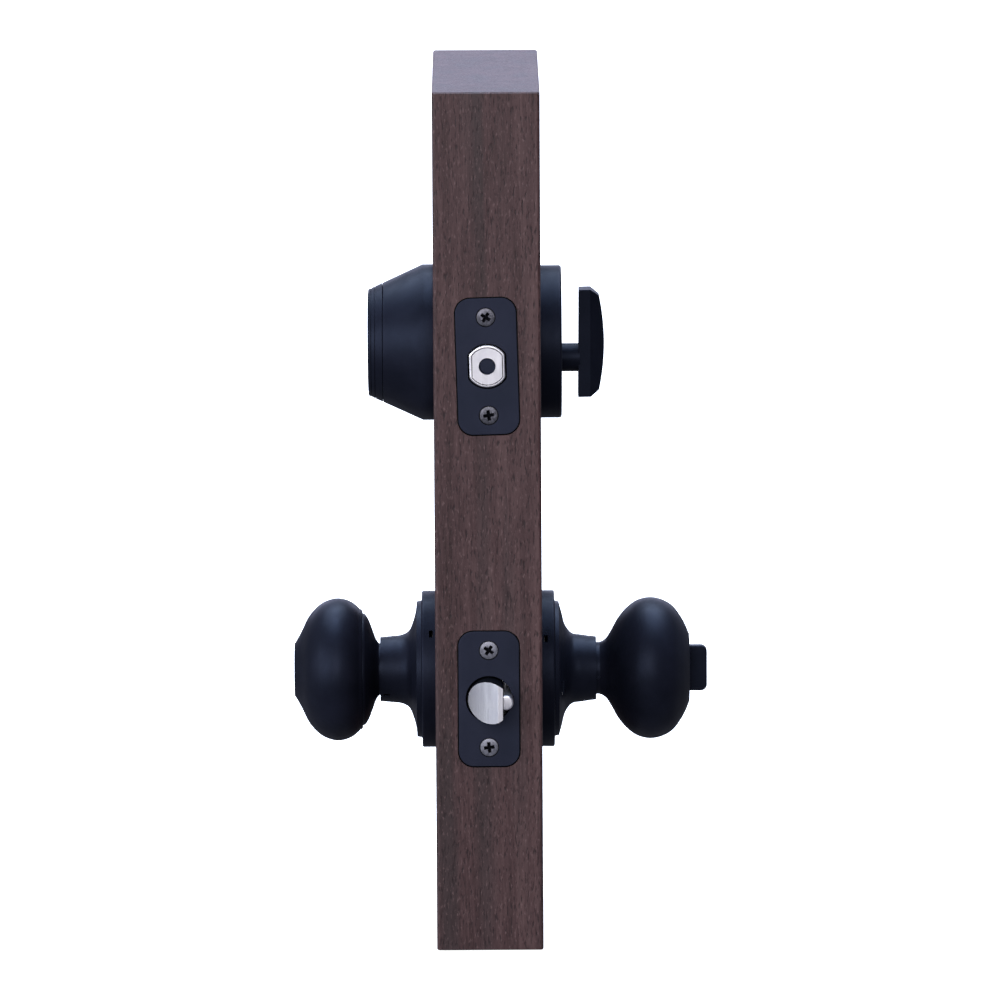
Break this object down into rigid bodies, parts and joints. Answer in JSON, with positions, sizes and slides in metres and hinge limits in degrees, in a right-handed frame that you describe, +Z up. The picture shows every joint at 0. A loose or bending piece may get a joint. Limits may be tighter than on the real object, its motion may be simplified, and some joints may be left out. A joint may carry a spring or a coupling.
{
  "type": "keyed deadbolt and entry knob set on a door block",
  "caption": "Door block fitted with a keyed deadbolt with thumbturn above a keyed entry knob set with a turn button and a deadlocking spring latch.",
  "frame": {"origin": "middle of the door block's base", "axes": "+X through the door's thickness towards the thumbturn side, -Y out of the door's edge with the faceplates, +Z up"},
  "size_m": [0.1743, 0.1651, 0.3603],
  "materials": {
    "stained_wood": "dark brown stained hardwood with straight vertical grain, satin",
    "black_finish": "satin black plated and lacquered metal",
    "satin_nickel": "satin nickel, brushed",
    "zinc_plate": "zinc plated pressed steel, dull",
    "brass": "machined brass",
    "spring_steel": "bright spring steel",
    "black_screw": "black oxide steel",
    "steel_screw": "dark steel, worn bright on the head"
  },
  "bodies": {
    "door": {"door_block": "stained_wood", "deadbolt_outer_housing": "black_finish", "deadbolt_front_ring": "black_finish", "deadbolt_cylinder_body": "black_finish", "deadbolt_driver_pins": "brass", "deadbolt_pin_springs": "spring_steel", "deadbolt_inner_plate": "zinc_plate", "deadbolt_inner_rose": "black_finish", "deadbolt_thumbturn_washer": "spring_steel", "deadbolt_mounting_screws": "black_screw", "deadbolt_case": "zinc_plate", "deadbolt_faceplate": "black_finish", "deadbolt_backplate": "zinc_plate", "deadbolt_faceplate_screws": "black_screw", "knob_outer_chassis": "zinc_plate", "knob_outer_rose": "black_finish", "knob_inner_plate": "zinc_plate", "knob_inner_rose": "black_finish", "knob_rose_clip": "spring_steel", "knob_mounting_screws": "steel_screw", "outer_return_spring": "spring_steel", "inner_return_spring": "spring_steel", "latch_case": "zinc_plate", "latch_faceplate": "black_finish", "latch_backplate": "zinc_plate", "latch_faceplate_screws": "steel_screw", "latch_spring": "spring_steel"},
    "thumbturn": {"deadbolt_thumbturn": "black_finish", "deadbolt_thumbturn_clip": "spring_steel", "deadbolt_tailpiece": "zinc_plate", "deadbolt_cam": "zinc_plate"},
    "deadbolt": {"deadbolt_bolt": "satin_nickel", "deadbolt_bolt_insert": "black_finish", "deadbolt_link": "zinc_plate"},
    "deadbolt_key_plug": {"deadbolt_plug": "brass", "deadbolt_plug_clip": "spring_steel", "deadbolt_key_pins": "brass"},
    "keyed_knob": {"outer_knob_shell": "black_finish", "outer_knob_back": "black_finish", "outer_spindle": "zinc_plate", "knob_cylinder_body": "black_finish", "knob_driver_pins": "brass", "knob_pin_springs": "spring_steel"},
    "knob_key_plug": {"knob_plug": "brass", "knob_plug_clip": "spring_steel", "knob_key_pins": "brass", "knob_key_tailpiece": "zinc_plate"},
    "thumb_knob": {"inner_knob": "black_finish", "inner_spindle": "zinc_plate", "inner_knob_catch": "black_finish"},
    "lock_button": {"turn_button": "black_finish", "turn_button_clip": "spring_steel", "turn_button_bar": "zinc_plate"},
    "hub": {"latch_hub": "zinc_plate"},
    "latch": {"latch_bolt": "satin_nickel", "latch_retractor": "zinc_plate", "plunger_spring": "spring_steel"},
    "plunger": {"deadlock_plunger": "satin_nickel"}
  },
  "joints": [
    {"name": "thumbturn_turn", "type": "hinge", "parent": "door", "child": "thumbturn", "pos_m": [0.038, -0.00635, 0.2396], "axis": [1, 0, 0], "range_deg": [0, 90]},
    {"name": "deadbolt_throw", "type": "slide", "parent": "door", "child": "deadbolt", "axis": [0, -1, 0], "range_m": [0, 0.0254]},
    {"name": "deadbolt_key_turn", "type": "hinge", "parent": "door", "child": "deadbolt_key_plug", "pos_m": [-0.036, -0.00635, 0.2396], "axis": [1, 0, 0], "range_deg": [-90, 90]},
    {"name": "keyed_knob_turn", "type": "hinge", "parent": "door", "child": "keyed_knob", "pos_m": [-0.063, -0.00635, 0.10665], "axis": [-1, 0, 0], "range_deg": [0, 70.5], "stiffness_Nm_per_rad": 0.25, "springref_deg": -34.38},
    {"name": "knob_key_turn", "type": "hinge", "parent": "keyed_knob", "child": "knob_key_plug", "pos_m": [-0.068, -0.00635, 0.10665], "axis": [1, 0, 0], "range_deg": [-90, 90]},
    {"name": "thumb_knob_turn", "type": "hinge", "parent": "door", "child": "thumb_knob", "pos_m": [0.068, -0.00635, 0.10665], "axis": [-1, 0, 0], "range_deg": [0, 70.5], "stiffness_Nm_per_rad": 0.25, "springref_deg": -34.38},
    {"name": "lock_button_turn", "type": "hinge", "parent": "thumb_knob", "child": "lock_button", "pos_m": [0.088, -0.00635, 0.10665], "axis": [1, 0, 0], "range_deg": [0, 90]},
    {"name": "hub_turn", "type": "hinge", "parent": "door", "child": "hub", "pos_m": [0, -0.00635, 0.10665], "axis": [-1, 0, 0], "range_deg": [0, 70.5]},
    {"name": "latch_retract", "type": "slide", "parent": "door", "child": "latch", "axis": [0, 1, 0], "range_m": [0, 0.0127], "stiffness_N_per_m": 250, "springref_m": -0.02, "deforming": ["latch_spring"]},
    {"name": "plunger_press", "type": "slide", "parent": "latch", "child": "plunger", "axis": [0, 1, 0], "range_m": [0, 0.006], "stiffness_N_per_m": 120, "springref_m": -0.01, "deforming": ["plunger_spring"]}
  ],
  "couplings": [
    {"joint": "thumbturn_turn", "follows": "deadbolt_throw", "rad_per_m": 61.842},
    {"joint": "thumb_knob_turn", "follows": "keyed_knob_turn", "ratio": 1},
    {"joint": "hub_turn", "follows": "keyed_knob_turn", "ratio": 1},
    {"joint": "latch_retract", "follows": "keyed_knob_turn", "m_per_rad": 0.010321}
  ]
}
